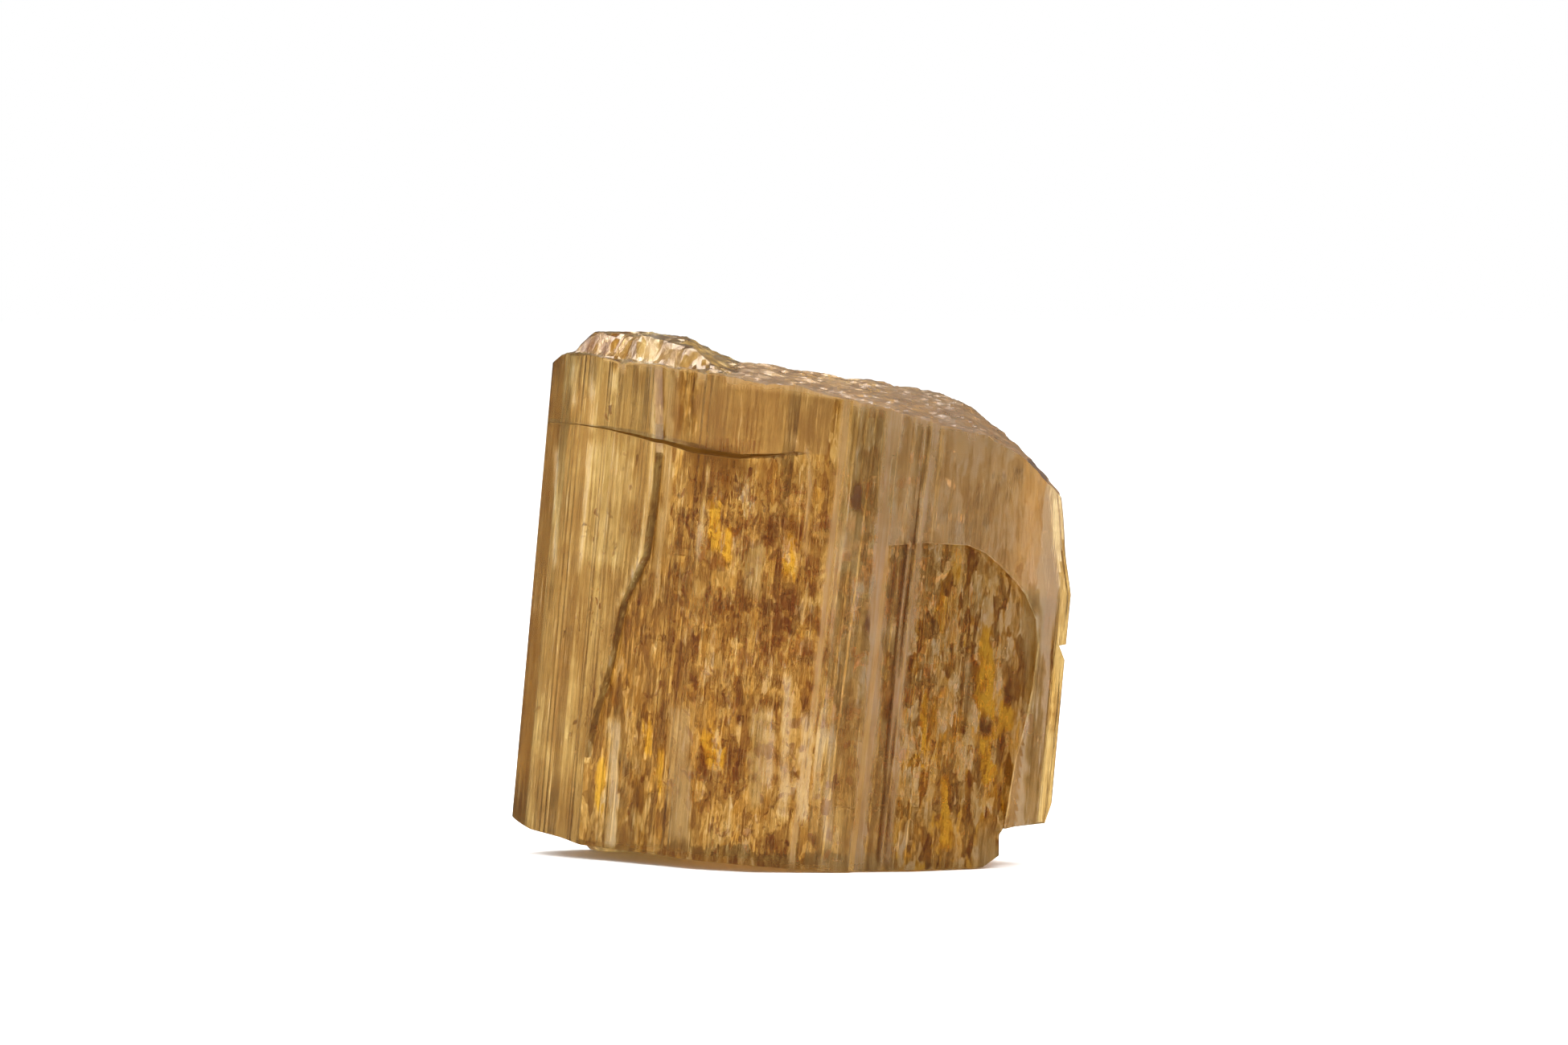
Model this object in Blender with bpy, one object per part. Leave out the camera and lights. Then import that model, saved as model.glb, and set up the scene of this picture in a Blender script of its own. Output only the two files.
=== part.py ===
# A stout prism of golden brown topaz, broken across both ends along its basal cleavage.
# Lengths are in millimetres until a mesh is made. In plan, u runs to the right and v to the back
# of the prism, and w runs up its c axis, which leans to the right of upright.

import math
import random

import bmesh
import bpy
from mathutils import Matrix, Vector, noise

METRES = 0.001
CORE_SEED, LEFT_SEED, RIGHT_SEED, BACK_SEED = 11, 23, 37, 41

# How the prism stands, and how far its sides are grown past the two breaks before they are cut
C_AXIS_LEAN = math.radians(5.2)
PRISM_FOOT = -1.7
PRISM_HEAD = 17.5
LEVEL_STEP = 2.4

# Directions in plan of the prism faces, in degrees, in the order met by the front, right and back.
# Neighbouring m faces turn by 55.7 degrees, and each l face lies 18.7 degrees from an m face.
L_FRONT_LEFT = -57.4
M_FRONT_LEFT = -38.7
M_FRONT_RIGHT = 17.0
L_FRONT_RIGHT = 35.7
B_RIGHT = 79.2
L_BACK_RIGHT = 122.6
M_BACK_RIGHT = 141.3
M_BACK_LEFT = 197.0
L_BACK_LEFT = 215.7
B_LEFT = 259.2

# Corners in plan of the core, each with the two faces whose strips alternate from it to the next
# corner and the mean width of a pair of strips. The step beside the front ridges has no strips.
CORE_SIDES = (
    ((-8.70, 2.24), L_FRONT_LEFT, M_FRONT_LEFT, 0.52),
    ((-3.10, -3.80), M_FRONT_LEFT, M_FRONT_RIGHT, 0.46),
    ((-1.05, -4.93), M_FRONT_LEFT, M_FRONT_RIGHT, 0.44),
    ((2.00, -5.08), None, None, 0.0),
    ((2.16, -4.80), M_FRONT_LEFT, M_FRONT_RIGHT, 0.34),
    ((3.90, -4.62), M_FRONT_RIGHT, L_FRONT_RIGHT, 0.45),
    ((7.70, -2.76), B_RIGHT, L_BACK_RIGHT, 0.45),
    ((7.36, -0.85), L_BACK_RIGHT, M_BACK_RIGHT, 0.62),
    ((0.90, 5.60), M_BACK_RIGHT, M_BACK_LEFT, 0.60),
    ((-7.60, 3.50), L_BACK_LEFT, B_LEFT, 0.42),
)

# The growth layer on the left stands proud of the core. It ends at a riser, a strip of m face,
# whose place along u is given for each height w.
LEFT_LAYER_SIDES = (
    ((-7.62, 3.66), L_BACK_LEFT, B_LEFT, 0.42),
    ((-8.92, 2.25), L_FRONT_LEFT, M_FRONT_LEFT, 0.50),
    ((-4.60, -2.50), None, None, 0.0),
    ((-4.00, -1.50), None, None, 0.0),
    ((-6.80, 2.60), None, None, 0.0),
)
LEFT_RISER = (
    (PRISM_FOOT, -6.70), (0.5, -6.70), (2.6, -6.75), (4.1, -6.57), (5.4, -6.30), (7.7, -6.00),
    (9.2, -5.45), (10.5, -5.40), (12.5, -5.20), (15.0, -5.18), (PRISM_HEAD, -5.10),
)

# The growth layer on the right ends at an arch, given as (u, w), and leaves the recess under it open
RIGHT_LAYER_SIDES = (
    ((1.60, -4.60), None, None, 0.0),
    ((1.85, -4.99), M_FRONT_LEFT, M_FRONT_RIGHT, 0.40),
    ((3.95, -4.93), M_FRONT_RIGHT, L_FRONT_RIGHT, 0.48),
    ((8.00, -2.93), B_RIGHT, L_BACK_RIGHT, 0.45),
    ((7.62, -0.80), None, None, 0.0),
    ((6.60, -1.20), None, None, 0.0),
    ((6.00, -2.60), None, None, 0.0),
    ((3.40, -4.10), None, None, 0.0),
)
ARCH = (
    (1.00, 10.25), (1.95, 10.38), (3.30, 10.60), (4.60, 10.62), (5.20, 10.40), (5.60, 10.10),
    (6.20, 9.60), (6.56, 9.20), (6.96, 8.46), (7.10, 7.70), (7.07, 6.40), (6.94, 5.20),
    (6.72, 3.90), (6.58, 2.10), (6.45, PRISM_FOOT),
)

# Growth layers on the hidden back: each is a band of the back that stands proud of the core
BACK_LAYER_SIDES = (
    ((5.30, 1.42), L_BACK_RIGHT, M_BACK_RIGHT, 0.66),
    ((0.95, 5.80), M_BACK_RIGHT, M_BACK_LEFT, 0.60),
    ((-4.40, 4.48), None, None, 0.0),
    ((-3.60, 3.20), None, None, 0.0),
    ((0.60, 4.30), None, None, 0.0),
    ((4.40, 0.60), None, None, 0.0),
)
BACK_LAYER_RIM = (
    (-3.9, 3.1), (-3.3, 6.4), (-2.1, 8.3), (-0.4, 9.1), (1.6, 9.6), (3.0, 11.2), (4.1, 12.6),
    (4.9, 13.1), (4.6, 7.2), (4.95, 4.0), (4.1, 2.2), (2.2, 1.7), (-1.0, 1.4), (-2.9, 1.9),
)

# Heights of the upper break along the front and back of the prism, as (u, w)
TOP_FRONT = (
    (-9.4, 14.30), (-8.95, 14.85), (-8.60, 15.20), (-6.5, 15.18), (-0.7, 15.02), (1.0, 14.80),
    (2.4, 14.58), (3.3, 14.28), (4.9, 14.05), (6.0, 13.52), (7.2, 12.50), (8.4, 11.10),
)
TOP_BACK = (
    (-9.4, 14.30), (-8.95, 14.85), (-8.60, 15.22), (-2.3, 15.36), (0.5, 15.12), (4.2, 14.98),
    (5.2, 14.34), (6.5, 13.38), (7.35, 12.52), (8.4, 11.10),
)
FRONT_PLANE = -5.0
BACK_PLANE = 3.5
HACKLE = 0.07            # roughness of the upper break

# The block left standing on the upper break at the left, behind a narrow rim
LUMP_RISE = 0.74
LUMP_INSET = (0.45, 0.95)     # its front wall lies between these depths behind the front left faces
LUMP_START = (-8.45, -7.55)   # its left end slopes between these places along u
LUMP_END = (-5.0, -3.1)       # and its right end between these

# Heights of the lower break along the front, as (u, w), and its fall to the back per millimetre
BASE_FRONT = (
    (-9.6, 1.20), (-8.95, 0.52), (-8.40, 0.24), (-7.4, 0.12), (-6.6, -0.04), (-3.0, 0.02),
    (0.0, 0.08), (2.2, 0.12), (5.2, 0.30), (8.4, 0.50),
)
BASE_FALL = 0.030
BASE_WAVE = 0.03
FOOT_PLACE = (-5.55, 3.00)
FOOT_RADIUS = 1.25
FOOT_DEPTH = 0.52

# Profiles in (u, w) of the ledge broken out of the lower right corner, and of a nick above it
LEDGE = (
    (5.85, PRISM_FOOT - 1.0), (5.90, 0.45), (6.50, 0.95), (6.45, 1.60), (6.56, 1.80),
    (6.90, 1.90), (7.85, 2.06), (8.03, 2.75), (9.60, 3.00), (9.60, PRISM_FOOT - 1.0),
)
LEDGE_REACH = 0.9
NICK = ((7.79, 7.66), (8.60, 6.00), (8.60, 7.84))

# The open cleavage crack at the upper left, as (u, w) along the front left faces
CRACK = (
    (-9.40, 12.93), (-8.84, 12.95), (-7.90, 13.03), (-6.85, 13.02), (-5.80, 12.93),
    (-5.00, 12.83), (-4.24, 12.71), (-2.72, 12.71), (-1.60, 12.90), (-1.10, 13.04),
)
CRACK_MOUTH = 0.13
CRACK_DEPTH = 0.85
CRACK_LEAD = 0.6              # how far outside the core the wedge starts
CRACK_TAPER = (-4.0, -1.1)    # it thins towards its right end between these places

# The front ridges wander to the right on their way up, and the right edge draws in near the top
RIDGE_DRIFT = 0.50
DRIFT_MIDDLE = 0.5
DRIFT_SPREAD = 3.0
MID_HEIGHT = 7.5
DRAW_IN = ((PRISM_FOOT, 0.0), (9.3, 0.0), (10.5, 0.30), (11.6, 0.46), (12.4, 0.62), (PRISM_HEAD, 1.3))
DRAWN_STRETCH = (4.6, 7.6)

# The cutters reach past the crystal on every side
CLEARANCE = 1.5
FRONT_CLEAR = -7.0
MIDDLE_PLANE = 0.4
BACK_CLEAR = 8.0
RIGHT_CLEAR = 9.6
BREAK_CELL = 0.46
BLOCK_WIDTH = 19.4
BLOCK_DEPTH = 13.2
BLOCK_MIDDLE = (-0.35, 0.35)
FLOOR_SIZE = (30.0, 30.0, 6.0)


def clear_scene():
    for thing in list(bpy.data.objects):
        bpy.data.objects.remove(thing, do_unlink=True)


def interpolate(table, place):
    # Straight runs between the table's points, level beyond its ends
    if place <= table[0][0]:
        return table[0][1]
    for (near, low), (far, high) in zip(table, table[1:]):
        if place <= far:
            return low + (high - low) * (place - near) / (far - near)
    return table[-1][1]


def smooth_between(low, high, value):
    share = min(max((value - low) / (high - low), 0.0), 1.0)
    return share * share * (3.0 - 2.0 * share)


def wander(u, v, size, seed):
    # Smooth noise of about one unit, for uneven natural surfaces
    return noise.noise(Vector((u / size, v / size, seed)))


def mesh_object(name, bm, parent, cutter=True):
    bmesh.ops.triangulate(bm, faces=bm.faces)
    bmesh.ops.recalc_face_normals(bm, faces=bm.faces)
    bm.transform(Matrix.Scale(METRES, 4))
    mesh = bpy.data.meshes.new(name)
    bm.to_mesh(mesh)
    bm.free()
    thing = bpy.data.objects.new(name, mesh)
    bpy.context.scene.collection.objects.link(thing)
    thing.parent = parent
    if cutter:
        thing.hide_render = True
        thing.display_type = "WIRE"
    return thing


def loft(name, sections, parent, cutter=True):
    # A closed skin over loops of equal length, capped at both ends
    bm = bmesh.new()
    column = bm.verts.layers.int.new("column")
    ring = [bm.verts.new(point) for point in sections[0]]
    for index, vert in enumerate(ring):
        vert[column] = index
    edges = list(bm.faces.new(ring).edges)
    for section in sections[1:]:
        raised = bmesh.ops.extrude_edge_only(bm, edges=edges)["geom"]
        verts = {part for part in raised if isinstance(part, bmesh.types.BMVert)}
        for vert in verts:
            vert.co = section[vert[column]]
        edges = [
            part for part in raised
            if isinstance(part, bmesh.types.BMEdge) and all(vert in verts for vert in part.verts)
        ]
    bmesh.ops.contextual_create(bm, geom=edges)
    return mesh_object(name, bm, parent, cutter)


def strip_widths(length, mean_width, rng):
    widths = []
    while sum(widths) < length:
        widths.append(mean_width * rng.choice((0.45, 0.6, 0.8, 1.0, 1.3, 2.0)))
    scale = length / sum(widths)
    return [width * scale for width in widths]


def striated_ring(sides, rng):
    # Goes round the corners and alternates strips of the two faces of each side. Each entry is a
    # place on the mean side and how far the ridge or groove there stands off it.
    ring = []
    corners = [Vector(side[0]) for side in sides]
    for index, (_, first_face, second_face, mean_width) in enumerate(sides):
        start = corners[index]
        run = corners[(index + 1) % len(corners)] - start
        if first_face is None:
            ring.append((start, Vector((0.0, 0.0))))
            continue
        along = run.normalized()
        outward = Vector((along.y, -along.x))
        bearing = math.degrees(math.atan2(run.y, run.x))
        first = math.radians((bearing - first_face) % 360.0)
        second = math.radians((second_face - bearing) % 360.0)
        done = 0.0
        for width in strip_widths(run.length, mean_width, rng):
            groove = outward * rng.uniform(-0.025, 0.025) if done else Vector((0.0, 0.0))
            ring.append((start + along * done, groove))
            first_width = width * math.sin(second) / math.sin(first + second)
            ridge = start + along * (done + first_width * math.cos(first))
            ring.append((ridge, outward * first_width * math.sin(first)))
            done += width
    return ring


def settle(u, v, w):
    # Where a point of the ideal prism lies once the ridges have wandered and the edge drawn in
    front = smooth_between(0.0, 3.0, -v)
    nearness = math.exp(-((u - DRIFT_MIDDLE) / DRIFT_SPREAD) ** 2)
    u += 0.5 * RIDGE_DRIFT * front * nearness * (w - MID_HEIGHT) / MID_HEIGHT
    u -= interpolate(DRAW_IN, w) * smooth_between(*DRAWN_STRETCH, u)
    return u, v, w


def prism_sections(ring, seed):
    # Ridges fade and return as they run up the prism
    count = round((PRISM_HEAD - PRISM_FOOT) / LEVEL_STEP)
    sections = []
    for step in range(count + 1):
        w = PRISM_FOOT + (PRISM_HEAD - PRISM_FOOT) * step / count
        section = []
        for index, (place, offset) in enumerate(ring):
            fade = 0.82 + 0.5 * wander(index * 1.7, w, 4.5, seed)
            spot = place + offset * fade
            section.append(settle(spot.x, spot.y, w))
        sections.append(section)
    return sections


def striated_prism(name, sides, seed, parent, cutter=True):
    ring = striated_ring(sides, random.Random(seed))
    return loft(name, prism_sections(ring, seed), parent, cutter)


def left_face_v(u):
    # The mean front left face of the left layer, in plan
    (u0, v0), (u1, v1) = LEFT_LAYER_SIDES[1][0], LEFT_LAYER_SIDES[2][0]
    return v0 + (v1 - v0) * (u - u0) / (u1 - u0)


def depth_behind_left_faces(u, v):
    corner = Vector(CORE_SIDES[0][0])
    along = (Vector(CORE_SIDES[1][0]) - corner).normalized()
    inward = Vector((-along.y, along.x))
    return (Vector((u, v)) - corner).dot(inward)


def left_layer_keep(parent):
    # Keeps the layer to the left of its riser, which runs the way an m face does
    turn = math.radians(M_FRONT_RIGHT)
    riser = Vector((math.cos(turn), math.sin(turn)))
    sections = []
    for w, u in LEFT_RISER:
        foot = Vector((u, left_face_v(u)))
        far = foot + riser * CLEARANCE
        near = foot - riser * BACK_CLEAR
        sections.append(((near.x, near.y, w), (far.x, far.y, w), (far.x, BACK_CLEAR, w),
                         (near.x, BACK_CLEAR, w)))
    return loft("left_layer_keep", sections, parent)


def profile_block(name, profile, near_v, far_v, parent):
    # Carries a profile in (u, w) from near_v back to far_v
    sections = [[(u, v, w) for u, w in profile] for v in (near_v, far_v)]
    return loft(name, sections, parent)


def right_layer_keep(parent):
    rest = ((RIGHT_CLEAR, PRISM_FOOT), (RIGHT_CLEAR, PRISM_HEAD), (ARCH[0][0], PRISM_HEAD))
    return profile_block("right_layer_keep", ARCH + rest, FRONT_CLEAR, MIDDLE_PLANE, parent)


def layer(name, sides, seed, keep, parent):
    slab = striated_prism(name, sides, seed, parent)
    add_boolean(slab, keep, "INTERSECT")
    return slab


def top_height(u, v):
    share = min(max((v - FRONT_PLANE) / (BACK_PLANE - FRONT_PLANE), 0.0), 1.0)
    front = interpolate(TOP_FRONT, u)
    w = front + (interpolate(TOP_BACK, u) - front) * share
    behind = smooth_between(*LUMP_INSET, depth_behind_left_faces(u, v) + 0.15 * wander(u, v, 1.1, 5.0))
    starting = smooth_between(*LUMP_START, u)
    ending = 1.0 - smooth_between(*LUMP_END, u + 0.3 * wander(u, v, 1.4, 9.0))
    w += LUMP_RISE * behind * starting * ending
    return w + HACKLE * (wander(u, v, 0.9, 1.0) + 0.6 * wander(u, v, 0.45, 2.0))


def base_height(u, v):
    w = interpolate(BASE_FRONT, u) - BASE_FALL * (v - FRONT_PLANE)
    reach = (Vector((u, v)) - Vector(FOOT_PLACE)).length / FOOT_RADIUS + 0.35 * wander(u, v, 0.8, 4.0)
    w -= FOOT_DEPTH * (1.0 - smooth_between(0.4, 1.0, reach))
    return w + BASE_WAVE * wander(u, v, 1.6, 7.0)


def break_block(name, height_at, far_w, parent):
    # The rock broken away: solid from the break's uneven surface to a flat far side
    bm = bmesh.new()
    bmesh.ops.create_grid(
        bm, x_segments=round(BLOCK_WIDTH / BREAK_CELL), y_segments=round(BLOCK_DEPTH / BREAK_CELL),
        size=0.5)
    for vert in bm.verts:
        u = BLOCK_MIDDLE[0] + vert.co.x * BLOCK_WIDTH
        v = BLOCK_MIDDLE[1] + vert.co.y * BLOCK_DEPTH
        vert.co = (u, v, height_at(u, v))
    carried = bmesh.ops.extrude_face_region(bm, geom=bm.faces[:], use_keep_orig=True)["geom"]
    for part in carried:
        if isinstance(part, bmesh.types.BMVert):
            part.co.z = far_w
    return mesh_object(name, bm, parent)


def crack_wedge(parent):
    # A thin wedge that opens at the surface and closes inside the crystal
    side = (Vector(CORE_SIDES[1][0]) - Vector(CORE_SIDES[0][0])).normalized()
    inward = Vector((-side.y, side.x))
    sections = []
    for u, w in CRACK:
        taper = 1.0 - 0.7 * smooth_between(*CRACK_TAPER, u)
        front = Vector((u, interpolate([side[0] for side in CORE_SIDES[:4]], u)))
        mouth = front - inward * CRACK_LEAD
        tip = front + inward * CRACK_DEPTH * taper
        half = 0.5 * CRACK_MOUTH * taper
        sections.append(((mouth.x, mouth.y, w - half), (tip.x, tip.y, w), (mouth.x, mouth.y, w + half)))
    return loft("crack_wedge", sections, parent)


def floor_block(parent):
    # Cuts the feet of the crystal flat, level with what it stands on
    bm = bmesh.new()
    place = Matrix.LocRotScale((0.0, 0.0, -0.5 * FLOOR_SIZE[2]), None, FLOOR_SIZE)
    bmesh.ops.create_cube(bm, size=1.0, matrix=place)
    return mesh_object("floor_block", bm, parent)


def add_boolean(target, tool, operation):
    cut = target.modifiers.new(tool.name, "BOOLEAN")
    cut.operation = operation
    cut.solver = "EXACT"
    cut.object = tool


def topaz_material():
    material = bpy.data.materials.new("golden_brown_topaz")
    material.use_nodes = True
    shader = material.node_tree.nodes["Principled BSDF"]
    shader.inputs["Base Color"].default_value = (0.52, 0.28, 0.09, 1.0)
    shader.inputs["Roughness"].default_value = 0.12
    shader.inputs["Metallic"].default_value = 0.0
    shader.inputs["IOR"].default_value = 1.62
    shader.inputs["Transmission Weight"].default_value = 0.85
    material.diffuse_color = (0.52, 0.28, 0.09, 1.0)
    return material


def guide(name, parent=None):
    empty = bpy.data.objects.new(name, None)
    bpy.context.scene.collection.objects.link(empty)
    empty.parent = parent
    return empty


def centre_over_origin(thing, stand):
    # Moves the stand so that the middle of the crystal's box is above the origin
    bpy.context.view_layer.update()
    solid = thing.evaluated_get(bpy.context.evaluated_depsgraph_get())
    mesh = solid.to_mesh()
    spots = [solid.matrix_world @ vert.co for vert in mesh.vertices]
    for axis in (0, 1):
        low = min(spot[axis] for spot in spots)
        high = max(spot[axis] for spot in spots)
        stand.location[axis] -= 0.5 * (low + high)
    solid.to_mesh_clear()


def build_crystal():
    stand = guide("stand")
    axis = guide("c_axis", stand)
    axis.rotation_euler = (0.0, C_AXIS_LEAN, 0.0)

    crystal = striated_prism("topaz_crystal", CORE_SIDES, CORE_SEED, axis, cutter=False)
    crystal.data.materials.append(topaz_material())

    keep_back = profile_block("back_layer_keep", BACK_LAYER_RIM, MIDDLE_PLANE, BACK_CLEAR, axis)
    layers = (
        layer("left_layer", LEFT_LAYER_SIDES, LEFT_SEED, left_layer_keep(axis), axis),
        layer("right_layer", RIGHT_LAYER_SIDES, RIGHT_SEED, right_layer_keep(axis), axis),
        layer("back_layer", BACK_LAYER_SIDES, BACK_SEED, keep_back, axis),
    )
    for grown in layers:
        add_boolean(crystal, grown, "UNION")
    cutters = (
        break_block("upper_break", top_height, PRISM_HEAD + CLEARANCE, axis),
        break_block("lower_break", base_height, PRISM_FOOT - CLEARANCE, axis),
        profile_block("ledge", LEDGE, FRONT_CLEAR, LEDGE_REACH, axis),
        profile_block("nick", NICK, FRONT_CLEAR, MIDDLE_PLANE, axis),
        crack_wedge(axis),
        floor_block(stand),
    )
    for cutter in cutters:
        add_boolean(crystal, cutter, "DIFFERENCE")
    centre_over_origin(crystal, stand)


clear_scene()
build_crystal()
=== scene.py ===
import math
import random

import bmesh
import bpy
from mathutils import Matrix, Vector, noise
from mathutils.bvhtree import BVHTree


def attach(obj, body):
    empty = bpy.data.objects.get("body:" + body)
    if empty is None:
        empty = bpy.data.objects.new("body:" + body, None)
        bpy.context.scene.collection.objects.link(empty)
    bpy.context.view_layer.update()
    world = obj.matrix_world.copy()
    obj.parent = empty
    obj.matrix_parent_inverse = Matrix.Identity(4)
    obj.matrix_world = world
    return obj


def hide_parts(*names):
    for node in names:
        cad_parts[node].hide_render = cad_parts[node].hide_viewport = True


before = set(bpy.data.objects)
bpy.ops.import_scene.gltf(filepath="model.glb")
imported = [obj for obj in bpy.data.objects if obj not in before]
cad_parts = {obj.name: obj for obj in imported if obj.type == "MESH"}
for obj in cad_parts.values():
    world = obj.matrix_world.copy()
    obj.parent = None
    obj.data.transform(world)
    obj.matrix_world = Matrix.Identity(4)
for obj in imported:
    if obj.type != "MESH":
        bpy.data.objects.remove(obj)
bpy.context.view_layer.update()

# Lengths are in millimetres while a shape is made. u runs right and v back across the prism,
# and w runs up its long axis. A finished piece is leaned, moved and turned into metres.
placing = {
    "lean": math.radians(5.2),
    "standShift": (0.0789, -0.2984, 0.0),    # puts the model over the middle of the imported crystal
    "metres": 0.001,
    "sharpFrom": math.radians(8.0),          # edges that bend more than this stay sharp
}


def placeMatrix():
    shift = Matrix.Translation(placing["standShift"])
    lean = Matrix.Rotation(placing["lean"], 4, "Y")
    return Matrix.Scale(placing["metres"], 4) @ shift @ lean


def smoothBetween(low, high, value):
    share = min(max((value - low) / (high - low), 0.0), 1.0)
    return share * share * (3.0 - 2.0 * share)


def interpolate(table, place):
    # straight runs between the points of a table, level beyond its ends
    if place <= table[0][0]:
        return table[0][1]
    for (near, low), (far, high) in zip(table, table[1:]):
        if place <= far:
            return low + (high - low) * (place - near) / (far - near)
    return table[-1][1]


def wander(u, v, size, seed):
    return noise.noise(Vector((u / size, v / size, seed)))


def wanders(waves, u, v):
    # several sizes of unevenness together, each given by its amount, size and seed
    return sum(amount * wander(u, v, size, seed) for amount, size, seed in waves)


def newObject(name, bm):
    mesh = bpy.data.meshes.new(name)
    bm.to_mesh(mesh)
    bm.free()
    thing = bpy.data.objects.new(name, mesh)
    bpy.context.scene.collection.objects.link(thing)
    return thing


def toolObject(name, bm):
    bmesh.ops.triangulate(bm, faces=bm.faces)
    bmesh.ops.recalc_face_normals(bm, faces=bm.faces)
    return newObject(name, bm)


# Directions in plan of the prism faces, in degrees, as they are met going round by the front
faceTurn = {
    "lFrontLeft": -57.4,
    "mFrontLeft": -38.7,
    "mFrontRight": 17.0,
    "lFrontRight": 35.7,
    "bRight": 79.2,
    "lBackRight": 122.6,
    "mBackRight": 141.3,
    "mBackLeft": 197.0,
    "lBackLeft": 215.7,
    "bLeft": 259.2,
}

# The core of the prism. Each side has its first corner in plan, the two faces that alternate along
# it, the mean width of a pair of strips, and how much of their relief it keeps.
core = {
    "foot": -1.7,
    "head": 17.5,
    "levelStep": 0.34,
    "seed": 11,
    "sides": (
        ((-8.70, 2.24), "lFrontLeft", "mFrontLeft", 0.52, 0.5),
        ((-3.10, -3.80), "mFrontLeft", "mFrontRight", 0.60, 0.25),
        ((-1.05, -4.93), "mFrontLeft", "mFrontRight", 0.44, 0.15),
        ((0.36, -4.99), None, None, 0.0, 0.0),
        ((0.42, -5.07), None, None, 0.0, 0.0),
        ((0.66, -5.00), "mFrontLeft", "mFrontRight", 0.44, 0.15),
        ((2.00, -5.08), None, None, 0.0, 0.0),
        ((2.16, -4.80), "mFrontLeft", "mFrontRight", 0.34, 0.3),
        ((3.90, -4.62), "mFrontRight", "lFrontRight", 0.55, 0.4),
        ((7.70, -2.76), "bRight", "lBackRight", 0.45, 1.0),
        ((7.36, -0.85), "lBackRight", "mBackRight", 0.62, 0.8),
        ((0.90, 5.60), "mBackRight", "mBackLeft", 0.60, 0.8),
        ((-7.60, 3.50), "lBackLeft", "bLeft", 0.42, 1.0),
    ),
    "ridgeDrift": 0.25,
    "driftFront": (0.0, 3.0),    # how far before the middle the drift starts, and where it is whole
    "driftMiddle": 0.5,
    "driftSpread": 3.0,
    "midHeight": 7.5,
    "fade": (0.82, 0.5),     # mean height of a broad ridge beside the drawn one, and how far it varies
    "fadeRun": 4.5,
    "fadeStep": 1.7,         # step through the noise from ridge to ridge, so that neighbours differ
    "grooveJitter": 0.025,
    "widthChoices": (0.45, 0.6, 0.8, 1.0, 1.3, 2.0),    # shares of the mean width of a pair of strips
    "drawIn": ((-1.7, 0.0), (9.3, 0.0), (10.5, 0.30), (11.6, 0.46), (12.4, 0.62), (17.5, 1.3)),
    "drawnStretch": (4.6, 7.6),
}
# The fine striae on the strips of a side
stria = {
    "pitch": 0.085,          # mean width of a fine strip
    "height": 0.004,         # how far a fine ridge stands up
    "plainShare": 0.6,       # share of the broad strips left flat and glassy
    "swell": 1.0,
    # unevenness of the swelling: amount, run along the prism, step from column to column and seed
    "swellWaves": ((1.3, 3.2, 3.7, 2.0), (0.5, 0.9, 5.1, 3.0)),
    "jitter": 0.25,          # unevenness in width
    "heights": (0.2, 1.6),
    "plainPitch": 2.5,
    "plainHeight": 0.15,
    "narrowest": 1.6,        # strips narrower than this many pitches aren't split
    "widest": 2.2,           # nor are the walls that are wider than this
}


def stripWidths(length, meanWidth, rng):
    widths = []
    while sum(widths) < length:
        widths.append(meanWidth * rng.choice(core["widthChoices"]))
    scale = length / sum(widths)
    return [width * scale for width in widths]


def striatedRing(sides, rng):
    # alternates strips of two faces along each side: a place on the mean side, and the offset there
    ring = []
    corners = [Vector(side[0]) for side in sides]
    for index, (_, firstFace, secondFace, meanWidth, relief) in enumerate(sides):
        start = corners[index]
        run = corners[(index + 1) % len(corners)] - start
        if firstFace is None:
            ring.append((start, Vector((0.0, 0.0))))
            continue
        along = run.normalized()
        outward = Vector((along.y, -along.x))
        bearing = math.degrees(math.atan2(run.y, run.x))
        first = math.radians((bearing - faceTurn[firstFace]) % 360.0)
        second = math.radians((faceTurn[secondFace] - bearing) % 360.0)
        done = 0.0
        for width in stripWidths(run.length, meanWidth, rng):
            groove = Vector((0.0, 0.0))
            if done:
                groove = outward * rng.uniform(-core["grooveJitter"], core["grooveJitter"]) * relief
            ring.append((start + along * done, groove))
            firstWidth = width * math.sin(second) / math.sin(first + second)
            ridge = start + along * (done + firstWidth * math.cos(first))
            ring.append((ridge, outward * firstWidth * math.sin(first) * relief))
            done += width
    return ring


def addStriae(ring, seed):
    # splits each broad strip into fine ones: (place, offset, fine offset, column seed)
    rng = random.Random(seed)
    fine = []
    for index, (place, offset) in enumerate(ring):
        nextPlace, nextOffset = ring[(index + 1) % len(ring)]
        run = (nextPlace + nextOffset) - (place + offset)
        fine.append((place, offset, Vector((0.0, 0.0)), len(fine)))
        if run.length < stria["narrowest"] * stria["pitch"] or run.length > stria["widest"]:
            continue
        outward = Vector((run.y, -run.x)).normalized()
        plain = rng.random() < stria["plainShare"]
        count = max(2, round(run.length / (stria["pitch"] * (stria["plainPitch"] if plain else 1.0))))
        for step in range(1, count):
            share = (step + rng.uniform(-stria["jitter"], stria["jitter"])) / count
            lift = stria["height"] * rng.uniform(*stria["heights"]) * (1 if step % 2 else -1)
            lift *= stria["plainHeight"] if plain else 1.0
            between = (place.lerp(nextPlace, share), offset.lerp(nextOffset, share))
            fine.append((*between, outward * lift, len(fine)))
    return fine


def settle(u, v, w):
    # the front ridges wander to the right on their way up, and the right edge draws in at the top
    front = smoothBetween(*core["driftFront"], -v)
    nearness = math.exp(-((u - core["driftMiddle"]) / core["driftSpread"]) ** 2)
    u += core["ridgeDrift"] * front * nearness * (w - core["midHeight"]) / core["midHeight"]
    u -= interpolate(core["drawIn"], w) * smoothBetween(*core["drawnStretch"], u)
    return u, v, w


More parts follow.
